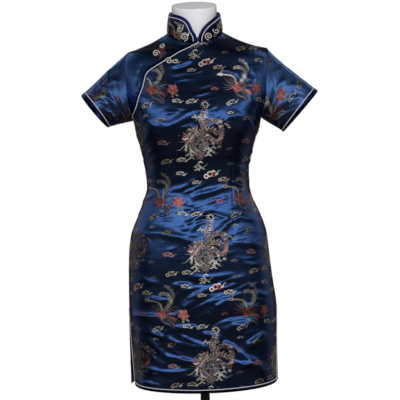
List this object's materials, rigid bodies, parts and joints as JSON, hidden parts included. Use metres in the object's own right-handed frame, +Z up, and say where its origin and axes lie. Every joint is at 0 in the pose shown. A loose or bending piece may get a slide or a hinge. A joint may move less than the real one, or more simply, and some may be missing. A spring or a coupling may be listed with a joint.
{
  "type": "cheongsam dress on limbless dress form",
  "caption": "Short brocade cheongsam with stand collar, slanting front opening, short sleeves and side slits, worn by a limbless dress form on a pole and round base.",
  "frame": {"origin": "centre of the base plate's underside, on the floor, on the pole's axis", "axes": "+Z up along the pole; +X to the viewer's right, which is the wearer's left; the front of the dress faces -Y"},
  "size_m": [0.5549, 0.32, 1.3185],
  "materials": {
    "brocade": "navy satin brocade with coloured motifs",
    "bias_satin": "dark navy satin bias binding",
    "piping": "pale silky corded piping",
    "frog_cord": "pale gold corded satin",
    "form_white": "smooth white moulded plastic",
    "stand_black": "satin black powder coat"
  },
  "bodies": {
    "root": {"front_panel": "brocade", "back_panel": "brocade", "chest_flap": "brocade", "collar": "brocade", "sleeve_right": "brocade", "sleeve_left": "brocade", "binding_collar": "bias_satin", "binding_opening": "bias_satin", "binding_cuff_right": "bias_satin", "binding_cuff_left": "bias_satin", "binding_hem_front": "bias_satin", "binding_hem_back": "bias_satin", "piping_collar": "piping", "piping_opening": "piping", "piping_cuff_right": "piping", "piping_cuff_left": "piping", "piping_hem_front": "piping", "piping_hem_back": "piping", "frog_collar_right_coil": "frog_cord", "frog_collar_right_leaf": "frog_cord", "frog_collar_left_coil": "frog_cord", "frog_collar_left_leaf": "frog_cord", "frog_collar_knot": "bias_satin", "frog_chest_upper_coil": "frog_cord", "frog_chest_upper_leaf": "frog_cord", "frog_chest_lower_coil": "frog_cord", "frog_chest_lower_leaf": "frog_cord", "frog_chest_knot": "bias_satin", "form_torso": "form_white", "form_pole": "stand_black", "form_base": "stand_black"}
  },
  "joints": []
}
